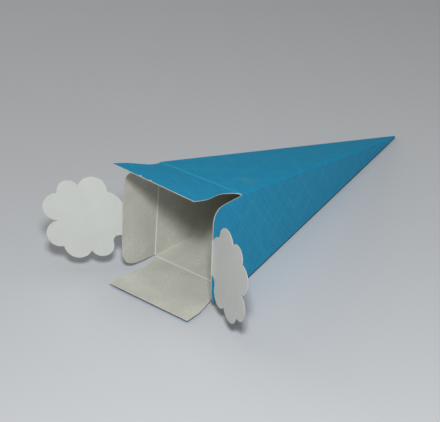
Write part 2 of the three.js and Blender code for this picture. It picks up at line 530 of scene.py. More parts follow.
def hair_streaks() -> bpy.types.NodeTree:
    """Fine straight lines along X that come and go, at uneven places across Y.

    Returns:
        The group.
    """
    defaults = {"Vector": None, "Spacing": 1.0, "Width": 0.2, "Length": 20.0, "Cover": 0.5, "Seed": 0.0}
    graph = GroupGraph("hair_streaks", defaults, ["Mask"])
    spacing, width, seed = (graph.given[name] for name in ("Spacing", "Width", "Seed"))
    drift_along, drift_across = 0.02, 0.1  # how fast the lines wander
    place_spread, place_start = 0.7, 0.15  # of a lane, where its line may lie
    lane_shift = 7.31  # from one lane to the next in the noise
    full_cover, bare_cover = -0.6, 0.8  # from the cover to the noise's threshold
    fade = 0.06
    strong, weak = 0.6, 0.4
    along, across, _ = graph.parts(graph.given["Vector"])
    slow = (graph.math("MULTIPLY", along, drift_along), graph.math("MULTIPLY", across, drift_across))
    drift = graph.noise(graph.vector(*slow), 1.0)
    across = graph.math("ADD", across, graph.math("MULTIPLY", drift, width))
    lane = graph.math("ADD", graph.math("DIVIDE", across, spacing), seed)
    number = graph.math("FLOOR", lane)
    settings = {"noise_dimensions": "2D"}
    chance = graph.add("ShaderNodeTexWhiteNoise", settings, Vector=graph.vector(number, seed))
    red, green, _ = graph.parts(chance.outputs["Color"])
    place = graph.math("MULTIPLY_ADD", red, place_spread, place_start)
    offset = graph.math("ABSOLUTE", graph.math("SUBTRACT", graph.math("FRACT", lane), place))
    line = graph.ramp(graph.math("MULTIPLY", offset, spacing), 0.0, width, 1.0, 0.0)
    stretch = graph.math("DIVIDE", along, graph.given["Length"])
    present = graph.noise(graph.vector(stretch, graph.math("MULTIPLY", number, lane_shift)), 1.0, detail=1.0)
    threshold = graph.math("MULTIPLY_ADD", graph.given["Cover"], full_cover, bare_cover)
    ends = graph.math("SUBTRACT", threshold, fade), graph.math("ADD", threshold, fade)
    shown = graph.math("MULTIPLY", line, graph.ramp(present, *ends))
    strength = graph.math("MULTIPLY_ADD", green, strong, weak)
    graph.feed(graph.result["Mask"], graph.math("MULTIPLY", shown, strength))
    return graph.tree


def card_fibre() -> bpy.types.NodeTree:
    """Soft clouding, fine fibre and their height in pressed card.

    Returns:
        The group.
    """
    graph = GroupGraph("card_fibre", {"Vector": None, "Fineness": 1.0}, ["Cloud", "Fibre", "Height"])
    cloud_scale, bend_scale, fibre_scale = 0.16, 0.7, 2.6
    bend, stretch = 1.2, 0.45
    cloud_height, fibre_height = 0.35, 0.65
    scaled = graph.scaled(graph.given["Vector"], graph.given["Fineness"])
    cloud = graph.noise(scaled, cloud_scale, detail=3.0, roughness=0.55)
    x, y, z = graph.parts(scaled)
    bending = graph.noise(scaled, bend_scale, detail=1.0)
    bent = graph.math("ADD", x, graph.math("MULTIPLY", bending, bend))
    strand = graph.vector(bent, graph.math("MULTIPLY", y, stretch), z)
    fibre = graph.noise(strand, fibre_scale, detail=3.0, roughness=0.6)
    graph.feed(graph.result["Cloud"], cloud)
    graph.feed(graph.result["Fibre"], fibre)
    height = graph.math("MULTIPLY_ADD", cloud, cloud_height, graph.math("MULTIPLY", fibre, fibre_height))
    graph.feed(graph.result["Height"], height)
    return graph.tree


def fold_lines() -> bpy.types.NodeTree:
    """Masks of the long folds and of the mouth crease, from a wall's own coordinates in millimetres.

    Returns:
        The group.
    """
    half_mouth, slant = CONE.mouth_side / 2 / MM, CONE.slant / MM
    graph = GroupGraph("fold_lines", {"Vector": None, "Reach": 1.0}, ["Fold", "Crease"])
    wander_scale, wander = 0.9, 0.5
    crease_middle, crease_core, crease_edge = 0.3, 0.3, 0.9
    vector = graph.given["Vector"]
    x, y, _ = graph.parts(vector)
    half = graph.math("MULTIPLY_ADD", y, half_mouth / slant, half_mouth)
    gap = graph.math("SUBTRACT", half, graph.math("ABSOLUTE", x))
    wandering = graph.math("MULTIPLY_ADD", graph.noise(vector, wander_scale), wander, -wander / 2)
    near = graph.ramp(graph.math("ADD", gap, wandering), 0.0, graph.given["Reach"], 1.0, 0.0)
    on_wall = graph.ramp(y, -crease_middle, 0.0, 1.0, 0.0)
    graph.feed(graph.result["Fold"], graph.math("MULTIPLY", near, on_wall))
    offset = graph.math("ABSOLUTE", graph.math("SUBTRACT", y, crease_middle))
    graph.feed(graph.result["Crease"], graph.ramp(offset, crease_core, crease_edge, 1.0, 0.0))
    return graph.tree


@dataclass(frozen=True)
class Groups:
    """The shared shader groups."""

    streaks: bpy.types.NodeTree = field(default_factory=hair_streaks)
    fibre: bpy.types.NodeTree = field(default_factory=card_fibre)
    folds: bpy.types.NodeTree = field(default_factory=fold_lines)


def linear(red: float, green: float, blue: float) -> Colour:
    """A display colour as the shader's linear colour.

    Args:
        red: 0 to 255.
        green: 0 to 255.
        blue: 0 to 255.

    Returns:
        The colour, with full alpha.
    """
    shares = [channel / 255 for channel in (red, green, blue)]
    values = [share / 12.92 if share <= 0.04045 else ((share + 0.055) / 1.055) ** 2.4 for share in shares]
    return (values[0], values[1], values[2], 1.0)


def finish(
    name: str, graph_of: Callable[[Graph], dict[str, object]], **constants: object
) -> bpy.types.Material:
    """A Principled material.

    Args:
        name: The material's name.
        graph_of: Builds the pattern, and returns sockets by the names of the shader's inputs.
        constants: Values that are the same all over, by the same names with underscores.

    Returns:
        The material.
    """
    material = bpy.data.materials.new(name)
    material.use_nodes = True
    graph = Graph(material.node_tree)
    sockets = graph_of(graph)
    shader = graph.add("ShaderNodeBsdfPrincipled", **constants)
    for label, socket in sockets.items():
        graph.feed(shader.inputs[label], socket)
    graph.add("ShaderNodeOutputMaterial", Surface=shader.outputs[0])
    return material


@dataclass(frozen=True)
class Streaks:
    """One run of hairlines on the blank, in millimetres."""

    angle: float  # in degrees
    spacing: float
    width: float
    length: float
    cover: float  # how much of the lines shows
    seed: float
    weight: float


ALONG, ACROSS = 60.0, -30.0  # the two ways of the hairlines on the blank, in degrees


@dataclass(frozen=True)
class BlueCard:
    """The printed outside: blue, with fine crossed hairlines that run over the whole blank."""

    groups: Groups
    ink: Colour = linear(16, 140, 186)
    deep_ink: Colour = linear(13, 135, 181)
    hairline: Colour = linear(74, 178, 205)
    # Painted highlight along the long folds, where their rounded edges catch light.
    fold_highlight: Colour = linear(24, 152, 198)
    # Painted highlight along the mouth crease, where the bent score catches light.
    crease_highlight_colour: Colour = linear(62, 180, 220)
    rubbed: Colour = linear(84, 150, 176)
    # Painted shade: a dark line along the seam's lower edge, standing in for the shadow under the right
    # wall's edge.
    painted_seam_shade: Colour = linear(5, 46, 60)
    streaks: tuple[Streaks, ...] = (
        Streaks(ALONG, 1.15, 0.30, 4.0, 0.85, 0.37, 0.34),
        Streaks(ACROSS, 1.3, 0.30, 5.0, 0.6, 3.71, 0.24),
        Streaks(ALONG, 11.0, 0.40, 26.0, 0.45, 5.21, 0.26),
        Streaks(ACROSS, 14.0, 0.45, 30.0, 0.6, 8.43, 0.46),
    )
    clouding: tuple[float, float] = (0.35, 0.68)  # of the cloud noise, from the deep ink to the ink
    grain: float = 0.10  # most of the hairline's colour in the fibre
    grain_range: tuple[float, float] = (0.3, 0.72)  # of the fibre noise
    speckle: float = 0.2  # most of it in the speckle
    speckle_range: tuple[float, float] = (0.46, 0.7)
    speckle_scale: float = 1.3
    seam_shade_range: tuple[float, float] = (0.05, 0.3)  # of the seam mask, up to the full painted shade line
    fold_highlight_reach: float = 1.6  # millimetres of painted highlight beside a long fold
    fold_highlight_strength: tuple[float, float] = (0.75, 0.3)  # the painted highlight's strength towards the tip, and towards the mouth
    fold_highlight_ends: tuple[float, float] = (-95.0, -30.0)  # where it changes, in millimetres from the mouth
    smudge: tuple[float, float] = (13.5, -157.0)  # a rubbed place on the blank, in millimetres
    smudge_size: float = 9.0
    smudge_core: float = 2.0
    smudge_share: float = 0.4
    smudge_ragged: float = 3.0
    roughness: tuple[float, float] = (0.16, 0.46)  # what the fibre adds, and the least
    hairline_height: float = -1.2
    fibre_height: float = 0.8
    bump_strength: float = 0.5
    bump_distance: float = 0.03 * MM

    def marks(self, graph: Graph, blank: Socket) -> object:
        """All the hairlines.

        Args:
            graph: The material's graph.
            blank: Coordinates on the blank, in millimetres.

        Returns:
            How much of their colour shows.
        """
        marks: object = 0.0
        for run in self.streaks:
            mask = graph.group(
                self.groups.streaks, Vector=graph.turned(blank, run.angle), Spacing=run.spacing,
                Width=run.width, Length=run.length, Cover=run.cover, Seed=run.seed,
            )[0]
            marks = graph.math("MULTIPLY_ADD", mask, run.weight, marks)
        return marks

    def painted_light(self, graph: Graph, colour: Socket) -> Socket:
        """Paints highlights along the long folds and the crease, and a shade line along the seam's lower
        edge.

        Args:
            graph: The material's graph.
            colour: The print's colour.

        Returns:
            The colour with them.
        """
        wall = graph.map_in_mm(WALL_UV)
        # Painted highlight along the long folds, stronger towards the tip.
        folds = graph.group(self.groups.folds, Vector=wall, Reach=self.fold_highlight_reach)
        painted_highlight = graph.ramp(graph.parts(wall)[1], *self.fold_highlight_ends, *self.fold_highlight_strength)
        colour = graph.mix(graph.math("MULTIPLY", folds["Fold"], painted_highlight), colour, self.fold_highlight)
        # Painted highlight along the mouth crease, as strong as the fold's angle makes it.
        crease = graph.math("MULTIPLY", folds["Crease"], graph.attribute(CREASE_HIGHLIGHT))
        colour = graph.mix(crease, colour, self.crease_highlight_colour)
        # Painted shade: a dark line along the seam's lower edge.
        return graph.mix(graph.ramp(graph.attribute(SEAM), *self.seam_shade_range), colour, self.painted_seam_shade)

    def smudged(self, graph: Graph, colour: Socket, blank: Socket, cloud: Socket) -> Socket:
        """Rubs one place on the blank.

        Args:
            graph: The material's graph.
            colour: The print's colour.
            blank: Coordinates on the blank, in millimetres.
            cloud: What makes the smudge's edge ragged.

        Returns:
            The colour with it.
        """
        x, y, _ = graph.parts(blank)
        away = graph.vector(
            graph.math("SUBTRACT", x, self.smudge[0]), graph.math("SUBTRACT", y, self.smudge[1])
        )
        distance = graph.add("ShaderNodeVectorMath", {"operation": "LENGTH"}, Vector=away).outputs["Value"]
        ragged = graph.math("MULTIPLY_ADD", cloud, self.smudge_ragged, distance)
        share = graph.ramp(ragged, self.smudge_core, self.smudge_size, self.smudge_share, 0.0)
        return graph.mix(share, colour, self.rubbed)

    def pattern(self, graph: Graph) -> dict[str, object]:
        """The print.

        Args:
            graph: The material's graph.

        Returns:
            Its colour, roughness and normal.
        """
        blank = graph.map_in_mm(BLANK_UV)
        marks = self.marks(graph, blank)
        fibre = graph.group(self.groups.fibre, Vector=blank, Fineness=1.0)
        colour = graph.mix(graph.ramp(fibre["Cloud"], *self.clouding), self.deep_ink, self.ink)
        grain = graph.ramp(fibre["Fibre"], *self.grain_range, 0.0, self.grain)
        speckle = graph.noise(blank, self.speckle_scale, detail=1.0)
        speckle = graph.ramp(speckle, *self.speckle_range, 0.0, self.speckle)
        colour = graph.mix(graph.math("ADD", grain, speckle), colour, self.hairline)
        colour = self.painted_light(graph, graph.mix(marks, colour, self.hairline))
        colour = self.smudged(graph, colour, blank, fibre["Cloud"])
        roughness = graph.math("MULTIPLY_ADD", fibre["Fibre"], *self.roughness)
        fibre_height = graph.math("MULTIPLY", fibre["Height"], self.fibre_height)
        height = graph.math("MULTIPLY_ADD", marks, self.hairline_height, fibre_height)
        normal = graph.bump(height, self.bump_strength, self.bump_distance)
        return {"Base Color": colour, "Roughness": roughness, "Normal": normal}

    def material(self) -> bpy.types.Material:
        """The material."""
        return finish("blue_card", self.pattern, Specular_IOR_Level=0.15)


@dataclass(frozen=True)
class BareCard:
    """Unprinted card: the box's warm inside, or the whiter cloud tabs."""

    groups: Groups
    name: str
    tint: Colour
    shade: Colour
    # Painted highlight along the crease, where its bead catches light.
    crease_highlight_tint: Colour
    fineness: float
    clouding: tuple[float, float] = (0.2, 0.8)  # of the cloud noise, from the shade to the tint
    fibre_share: float = 0.8  # most of the shade in the fibre
    fibre_range: tuple[float, float] = (0.3, 0.65)  # of the fibre noise
    crease_thinning: float = 4.0  # a power that draws the crease's line thin
    roughness: tuple[float, float] = (0.12, 0.72)  # what the fibre adds, and the least
    bump_strength: float = 0.6
    bump_distance: float = 0.04 * MM

    def pattern(self, graph: Graph) -> dict[str, object]:
        """The bare card.

        Args:
            graph: The material's graph.

        Returns:
            Its colour, roughness and normal.
        """
        blank = graph.map_in_mm(BLANK_UV)
        fibre = graph.group(self.groups.fibre, Vector=blank, Fineness=self.fineness)
        colour = graph.mix(graph.ramp(fibre["Cloud"], *self.clouding), self.shade, self.tint)
        strands = graph.ramp(fibre["Fibre"], *self.fibre_range, self.fibre_share, 0.0)
        colour = graph.mix(strands, colour, self.shade)
        folds = graph.group(self.groups.folds, Vector=graph.map_in_mm(WALL_UV), Reach=1.0)
        # Painted highlight along the crease's bead, as strong as the fold's angle makes it.
        line = graph.math("POWER", folds["Crease"], self.crease_thinning)
        colour = graph.mix(graph.math("MULTIPLY", line, graph.attribute(CREASE_HIGHLIGHT)), colour, self.crease_highlight_tint)
        roughness = graph.math("MULTIPLY_ADD", fibre["Fibre"], *self.roughness)
        normal = graph.bump(fibre["Height"], self.bump_strength, self.bump_distance)
        return {"Base Color": colour, "Roughness": roughness, "Normal": normal}

    def material(self) -> bpy.types.Material:
        """The material."""
        return finish(self.name, self.pattern, Specular_IOR_Level=0.25)


@dataclass(frozen=True)
class CutEdge:
    """The die-cut edge: pale pressed layers, with the print's film along the outer side."""

    name: str
    core: Colour
    layer: Colour
    film: Colour
    fibre_scale: float = 1.5  # along the card, per millimetre
    ply_scale: float = 9.0  # through its thickness
    ply_range: tuple[float, float] = (0.35, 0.65)  # of the ply noise, from the layer to the core
    film_range: tuple[float, float] = (0.4, 0.5)  # of the card's thickness, from its middle
    film_ragged: float = 0.12
    roughness: tuple[float, float] = (0.1, 0.8)  # what the plies add, and the least
    bump_strength: float = 0.7
    bump_distance: float = 0.04 * MM

    def pattern(self, graph: Graph) -> dict[str, object]:
        """The cut.

        Args:
            graph: The material's graph.

        Returns:
            Its colour, roughness and normal.
        """
        depth = graph.attribute(DEPTH)
        x, y, _ = graph.parts(graph.map_in_mm(BLANK_UV))
        scales = ((x, self.fibre_scale), (y, self.fibre_scale), (depth, self.ply_scale))
        plies = graph.vector(*(graph.math("MULTIPLY", value, scale) for value, scale in scales))
        ply = graph.noise(plies, 1.0, detail=3.0, roughness=0.6)
        colour = graph.mix(graph.ramp(ply, *self.ply_range), self.layer, self.core)
        edge = graph.math("MULTIPLY_ADD", ply, self.film_ragged, depth)
        colour = graph.mix(graph.ramp(edge, *self.film_range), colour, self.film)
        roughness = graph.math("MULTIPLY_ADD", ply, *self.roughness)
        normal = graph.bump(ply, self.bump_strength, self.bump_distance)
        return {"Base Color": colour, "Roughness": roughness, "Normal": normal}

    def material(self) -> bpy.types.Material:
        """The material."""
        return finish(self.name, self.pattern, Specular_IOR_Level=0.2)


@dataclass(frozen=True)
class TableTop:
    """A pale table, slightly uneven in tone."""

    colour: Colour = linear(196, 199, 203)
    darker: float = 0.985  # its darker places' share of the colour
    scale: float = 3.0
    tone_range: tuple[float, float] = (0.3, 0.7)  # of the noise, from the darker places to the paler

    def pattern(self, graph: Graph) -> dict[str, object]:
        """The table's tone.

        Args:
            graph: The material's graph.

        Returns:
            Its colour.
        """
        place = graph.add("ShaderNodeTexCoord").outputs["Object"]
        tone = graph.ramp(graph.noise(place, self.scale), *self.tone_range)
        dark = tuple(channel * self.darker for channel in self.colour[:3]) + (1.0,)
        return {"Base Color": graph.mix(tone, dark, self.colour)}

    def material(self) -> bpy.types.Material:
        """The material."""
        return finish("table_top", self.pattern, Roughness=0.7, Specular_IOR_Level=0.2)


@dataclass(frozen=True)
class Finishes:
    """The materials of printed card and of the bare cloud tabs, each by layer."""

    printed: dict[Layer, bpy.types.Material]
    bare: dict[Layer, bpy.types.Material]

    @classmethod
    def make(cls) -> "Finishes":
        """Builds every card material once.

        Returns:
            The finishes.
        """
        groups = Groups()
        blue = BlueCard(groups)
        # Each crease tint is a painted highlight along the creases.
        inside = BareCard(
            groups, "card_inside", tint=linear(208, 209, 199), shade=linear(186, 186, 176),
            crease_highlight_tint=linear(236, 238, 234), fineness=0.5,
        ).material()
        cloud = BareCard(
            groups, "cloud_card", tint=linear(205, 207, 203), shade=linear(199, 201, 197),
            crease_highlight_tint=linear(208, 210, 206), fineness=0.6,
        ).material()
        cut = CutEdge(
            "printed_cut_edge", core=linear(198, 198, 190), layer=linear(180, 178, 168), film=blue.ink
        )
        bare_cut = CutEdge(
            "cloud_cut_edge", core=linear(192, 193, 188), layer=linear(182, 181, 174),
            film=linear(196, 197, 192),
        )
        return cls(
            {Layer.OUTSIDE: blue.material(), Layer.INSIDE: inside, Layer.CUT_EDGE: cut.material()},
            {Layer.OUTSIDE: cloud, Layer.INSIDE: cloud, Layer.CUT_EDGE: bare_cut.material()},
        )


def dress(piece: bpy.types.Object, layers: dict[Layer, bpy.types.Material]) -> None:
    """Gives a card piece its materials, in the order of the layers."""
    for layer in Layer:
        piece.data.materials[layer.value] = layers[layer]


# Sheets of card


@dataclass(frozen=True)
class Row:
    """One row of a sheet: its distance from the crease and its two ends."""

    y: float
    low: float
    high: float


@dataclass
class Sheet:
    """A piece of card, flat in its crease frame until it is folded."""

    piece: bpy.types.Object
    wall: Wall
    cone: Cone = CONE
    groove: float = 0.05 * MM  # pressed into the outside of a crease
    bead: float = 0.11 * MM  # raised on its inside
    full_highlight_at: float = math.radians(3.4)  # the fold's angle at which the crease's painted highlight is full

    @classmethod
    def grown(cls, name: str, wall: Wall, rows: Sequence[Row], columns: int) -> "Sheet":
        """A flat sheet grown from the crease, row by row.

        Args:
            name: The piece's name.
            wall: The wall whose crease it starts from.
            rows: Its rows, the crease first.
            columns: Faces across.

        Returns:
            The sheet.
        """
        first, second = rows[0], rows[1]
        middle = Vector(((first.low + first.high) / 2, (first.y + second.y) / 2, 0))
        piece = plane(name, first.high - first.low, second.y - first.y, middle)
        with editing(piece, Element.EDGES):
            pick(
                piece, Element.EDGES,
                lambda centre, edge: abs(edge.verts[0].co.y - edge.verts[1].co.y) < SAME_PLACE,
            )
            bpy.ops.mesh.subdivide(number_cuts=columns - 1)
            before = first
            for number, row in enumerate(rows[1:]):
                if number:
                    step = (0, row.y - before.y, 0)
                    bpy.ops.mesh.extrude_region_move(TRANSFORM_OT_translate={"value": step})
                else:
                    pick(piece, Element.EDGES, lambda centre, edge: centre.y > second.y - SAME_PLACE)
                cls._fit(before, row)
                before = row
        return cls(piece, wall)

    @staticmethod
    def _fit(before: Row, row: Row) -> None:
        """Makes the selected last row as wide as a row has to be, and moves it to its place.

        Args:
            before: The row that it was made from.
            row: The row to match.
        """
        share = (row.high - row.low) / (before.high - before.low)
        middle = (before.low + before.high) / 2
        bpy.ops.transform.resize(value=(share, 1, 1), center_override=(middle, 0, 0))
        shift = (row.low + row.high) / 2 - middle
        bpy.ops.transform.translate(value=(shift, 0, 0))

    def thicken(self, bevel: float = 0.05 * MM) -> None:
        """Gives the sheet the card's thickness, with its cut edges a little rounded.

        Args:
            bevel: The rounding's width, or 0 for none.
        """
        with editing(self.piece, Element.FACES):
            bpy.ops.mesh.select_all(action="SELECT")
            bpy.ops.mesh.normals_make_consistent(inside=False)
            mesh = bmesh.from_edit_mesh(self.piece.data)
            if sum(face.normal.z for face in mesh.faces) < 0:
                bpy.ops.mesh.flip_normals()
        empty_slots(self.piece.data)
        apply_modifier(
            self.piece, "SOLIDIFY", thickness=self.cone.card, offset=0,
            material_offset=Layer.INSIDE.value, material_offset_rim=Layer.CUT_EDGE.value,
        )
        if not bevel:
            return
        with editing(self.piece, Element.EDGES):
            pick(self.piece, Element.EDGES, self._is_cut)
            bpy.ops.mesh.bevel(
                offset=bevel, offset_type="OFFSET", segments=1, affect="EDGES", clamp_overlap=True,
                material=Layer.CUT_EDGE.value,
            )

    def _is_cut(self, middle: Vector, edge: bmesh.types.BMEdge) -> bool:
        """Whether an edge lies between a cut and the card's outside or inside.

        Args:
            middle: The edge's middle.
            edge: The edge.

        Returns:
            Whether it does, beyond the crease.
        """
        on_face = abs(middle.z) > self.cone.card / 2 - SAME_PLACE and middle.y > SAME_PLACE
        return on_face and any(face.material_index == Layer.CUT_EDGE.value for face in edge.link_faces)

    def map_blank(self) -> None:
        """Writes the sheet's UV maps and depth while it is still flat."""
        mesh = self.piece.data
        depth = mesh.attributes.new(DEPTH, "FLOAT", "POINT")
        depth.data.foreach_set("value", [vertex.co.z / self.cone.card for vertex in mesh.vertices])
        blank, wall = new_maps(mesh)
        for loop in mesh.loops:
            point = mesh.vertices[loop.vertex_index].co
            blank.data[loop.index].uv = self.cone.on_blank(self.wall, point.x, point.y)
            wall.data[loop.index].uv = (point.x, point.y)

    def painted_highlight(self, angle: float) -> None:
        """Writes how strong the painted highlight along the crease is, by the fold's angle.

        Args:
            angle: The fold's angle, in radians.
        """
        mesh = self.piece.data
        painted_light = mesh.attributes.new(CREASE_HIGHLIGHT, "FLOAT", "POINT")
        painted_light.data.foreach_set("value", [min(abs(angle) / self.full_highlight_at, 1.0)] * len(mesh.vertices))

    def score(self, start: float) -> None:
        """Presses a groove outside and a bead inside along a crease.

        Args:
            start: The crease's distance from the sheet's own crease.
        """
        for vertex in self.piece.data.vertices:
            share = (vertex.co.y - start) / SCORE_REACH
            if 0 < share < 1:
                press = math.sin(math.pi * share) ** 2
                vertex.co.z -= press * (self.groove if vertex.co.z > 0 else self.bead)

    def fold(self, start: float, angle: float) -> None:
        """Folds what lies beyond a crease, over the score's reach.

        Args:
            start: The crease's distance from the sheet's own crease.
            angle: In radians, positive to the outside.
        """
        for vertex in self.piece.data.vertices:
            share = (vertex.co.y - start) / SCORE_REACH
            vertex.co = turned(vertex.co, start, angle * smoothstep(share))

    def twist(self, angle: float, reach: float) -> None:
        """Turns the sheet about its middle line, more and more away from the crease.

        Args:
            angle: In radians, with the +X side to the outside.
            reach: Where the twist is full.
        """
        for vertex in self.piece.data.vertices:
            turn = angle * smoothstep(vertex.co.y / reach)
            x, z = vertex.co.x, vertex.co.z
            vertex.co.x = math.cos(turn) * x - math.sin(turn) * z
            vertex.co.z = math.sin(turn) * x + math.cos(turn) * z

    def lay(self) -> None:
        """Moves the mesh from its crease frame to the row frame and shades it."""
        self.piece.data.transform(self.cone.crease(self.wall))
        smooth(self.piece)


# Sub-assemblies


@dataclass
class ConeSleeve:
    """The four walls, open at the mouth. The right wall's cut edge is glued over the fold of its tab."""

    finishes: Finishes
    cone: Cone = CONE
    fold_steps: int = 6
    nose_steps: int = 4
    seam: tuple[tuple[float, float], ...] = (
        (0.0, 0.9), (0.0, 0.22), (0.38, 0.21), (0.42, 0.15), (0.5, 0.08), (0.62, 0.03), (0.85, 0.0),
    )  # the glued corner's profile from the right wall to the bottom one, in millimetres in from their planes
    seam_edge: tuple[float, float] = (0.18 * MM, 0.25 * MM)  # its cut edge, above the bottom wall's plane
    seam_edge_reach: float = 0.3 * MM  # and how far in from the right wall's plane
    looks_down: float = -0.5  # a normal's z under this does
    seam_stop: float = 12 * MM  # from the seam's end to the rounded tip
    weld: float = 0.002 * MM

    def stations(self) -> list[float]:
        """Where the rings after the mouth's lie.

        Returns:
            Their distances from the mouth, along the axis.
        """
        tip = self.cone.station(self.cone.tip_fold)
        turns = [math.pi / 2 * step / self.nose_steps for step in range(self.nose_steps)]
        return [tip - self.seam_stop] + [tip + self.cone.tip_fold * math.sin(turn) for turn in turns]

    def model(self) -> bpy.types.Object:
        """A straight tube from the mouth's rounded square, hollowed and then drawn in to the tip.

        Returns:
            The piece, in the cone's own frame.
        """
        cone = self.cone
        piece = plane("cone_sleeve", cone.mouth_side, cone.mouth_side, Vector())
        piece.data.transform(Matrix.Rotation(math.pi / 2, 4, "X"))
        with editing(piece):
            bpy.ops.mesh.select_all(action="SELECT")
            bpy.ops.mesh.bevel(
                offset=cone.mouth_fold, segments=self.fold_steps, affect="VERTICES", profile=0.5
            )
            at = 0.0
            for station in self.stations():
                bpy.ops.mesh.extrude_region_move(TRANSFORM_OT_translate={"value": (0, station - at, 0)})
                at = station
            pick(
                piece, Element.FACES,
                lambda centre, face: abs(centre.y) < SAME_PLACE and len(face.verts) > 4,
            )
            bpy.ops.mesh.inset(thickness=cone.wall_reach, depth=0, use_even_offset=True)
            square_off = -cone.card * math.sin(cone.lean)
            bpy.ops.transform.translate(value=(0, square_off, 0))
            deep = cone.station(cone.tip_fold, cone.card) - square_off
            bpy.ops.mesh.extrude_region_move(TRANSFORM_OT_translate={"value": (0, deep, 0)})
        self.draw_in(piece)
        with editing(piece):
            bpy.ops.mesh.select_all(action="SELECT")
            bpy.ops.mesh.remove_doubles(threshold=self.weld)
            bpy.ops.mesh.normals_make_consistent(inside=False)
        return piece

    def draw_in(self, piece: bpy.types.Object) -> None:
        """Tapers the straight tube, with its round folds and its seam at their sizes all along.

        Args:
            piece: The tube.
        """
        cone = self.cone
        centre = cone.mouth_side / 2 - cone.mouth_fold
        # The seam mask, for the painted shade line along the seam's lower edge.
        painted_seam_shade = piece.data.attributes.new(SEAM, "FLOAT", "POINT").data
        for vertex in piece.data.vertices:
            x, y, z = vertex.co
            inner = math.hypot(abs(x) - centre, abs(z) - centre) < cone.mouth_fold - cone.card / 2
            turn = math.atan2(abs(z) - centre, abs(x) - centre)
            depth = cone.card if inner else 0.0
            tip = cone.station(cone.tip_fold, depth)
            share = min(max(y / tip, 0.0), 1.0)
            half = cone.half_side(y, depth)
            radius = (1 - share) * (cone.mouth_fold - depth) + share * cone.tip_fold
            if y > tip:
                half = radius = math.sqrt(cone.tip_fold**2 - (y - tip) ** 2)
            from_side, from_base = radius * (1 - math.cos(turn)), radius * (1 - math.sin(turn))
            if not inner and x > 0 > z:
                step = round(turn / (math.pi / 2) * self.fold_steps)
                painted_seam_shade[vertex.index].value = min(step, 1)
                if y < tip - SAME_PLACE:
                    from_side, from_base = (size * MM for size in self.seam[step])
            vertex.co.x = math.copysign(half - from_side, x)
            vertex.co.z = math.copysign(half - from_base, z)

    def on_seam(self, face: bpy.types.MeshPolygon) -> bool:
        """Whether a face is the right wall's cut edge along the seam.

        Args:
            face: A face in the cone's own frame.

        Returns:
            Whether it lies there and looks down.
        """
        half = self.cone.half_side(face.center.y, 0.0)
        low, high = self.seam_edge
        in_height = low < half + face.center.z < high
        in_depth = 0 < half - face.center.x < self.seam_edge_reach
        return in_height and in_depth and face.normal.z < self.looks_down

    def layer_of(self, face: bpy.types.MeshPolygon) -> Layer:
        """Tells the outside, the inside and the cut edge apart.

        Args:
            face: A face in the cone's own frame.

        Returns:
            Its layer.
        """
        reach = max(abs(face.center.x), abs(face.center.z))
        rim = face.center.y < SAME_PLACE and reach > self.cone.inner_half - self.cone.card
        if rim or self.on_seam(face):
            return Layer.CUT_EDGE
        outward = face.normal.dot(Vector((face.center.x, 0, face.center.z)))
        return Layer.OUTSIDE if outward >= 0 else Layer.INSIDE

    def map_walls(self, piece: bpy.types.Object) -> None:
        """Sorts the faces by layer, and writes each wall's UV maps and depth.

        Args:
            piece: The sleeve, in the cone's own frame.
        """
        cone, mesh = self.cone, piece.data
        empty_slots(mesh)
        blank, own = new_maps(mesh)
        depth = mesh.attributes.new(DEPTH, "FLOAT", "POINT")
        to_wall = {wall: cone.crease_in_cone(wall).inverted() for wall in Wall}
        for face in mesh.polygons:
            wall = max(Wall, key=lambda each: (to_wall[each] @ face.center).z)
            face.material_index = self.layer_of(face).value
            for index in face.loop_indices:
                corner = mesh.loops[index].vertex_index
                point = to_wall[wall] @ mesh.vertices[corner].co
                blank.data[index].uv = cone.on_blank(wall, point.x, point.y)
                own.data[index].uv = (point.x, point.y)
                depth.data[corner].value = min(max(point.z / cone.card, -0.5), 0.5)

    def build(self) -> bpy.types.Object:
        """Models, maps and dresses the sleeve, and puts it on the cone's body.

        Returns:
            The piece.
        """
        piece = self.model()
        self.map_walls(piece)
        piece.data.transform(self.cone.lying())
        dress(piece, self.finishes.printed)
        smooth(piece)
        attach(piece, "cone")
        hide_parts("cone_body")
        return piece


@dataclass
class GlueTab:
    """The tab inside the right wall, along its fold with the bottom wall."""

    finishes: Finishes
    cone: Cone = CONE
    width: float = 8 * MM
    end_width: float = 0.2 * MM
    setback: float = 4 * MM
    bevel: float = 6 * MM
    tip_clearance: float = 20 * MM
    taper: float = 26 * MM
    columns: int = 4

    def fold_at(self, distance: float) -> float:
        """Where the fold runs on the card's inner face, this far from the mouth crease."""
        return -(self.cone.mouth_side / 2) * (1 - distance / self.cone.slant) + self.cone.card

    def row(self, distance: float, width: float) -> Row:
        """The tab's row this far from the mouth crease."""
        return Row(-distance, self.fold_at(distance), self.fold_at(distance) + width)

    def build(self) -> bpy.types.Object:
        """Models the tab from a strip, slants its two ends, and glues it to the wall.

        Returns:
            The piece.
        """
        near, far = self.setback, self.cone.slant - self.tip_clearance
        rows = [
            self.row(far, self.end_width),
            self.row(far - self.taper, self.width),
            self.row(near + self.bevel, self.width),
            self.row(near, self.end_width),
        ]
        sheet = Sheet.grown("glue_tab", Wall.RIGHT, rows, self.columns)
        sheet.thicken(0.0)
        sheet.map_blank()
        dress(sheet.piece, self.finishes.printed)
        sheet.piece.data.transform(Matrix.Translation((0, 0, -self.cone.card)))
        sheet.lay()
        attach(sheet.piece, "cone")
        return sheet.piece


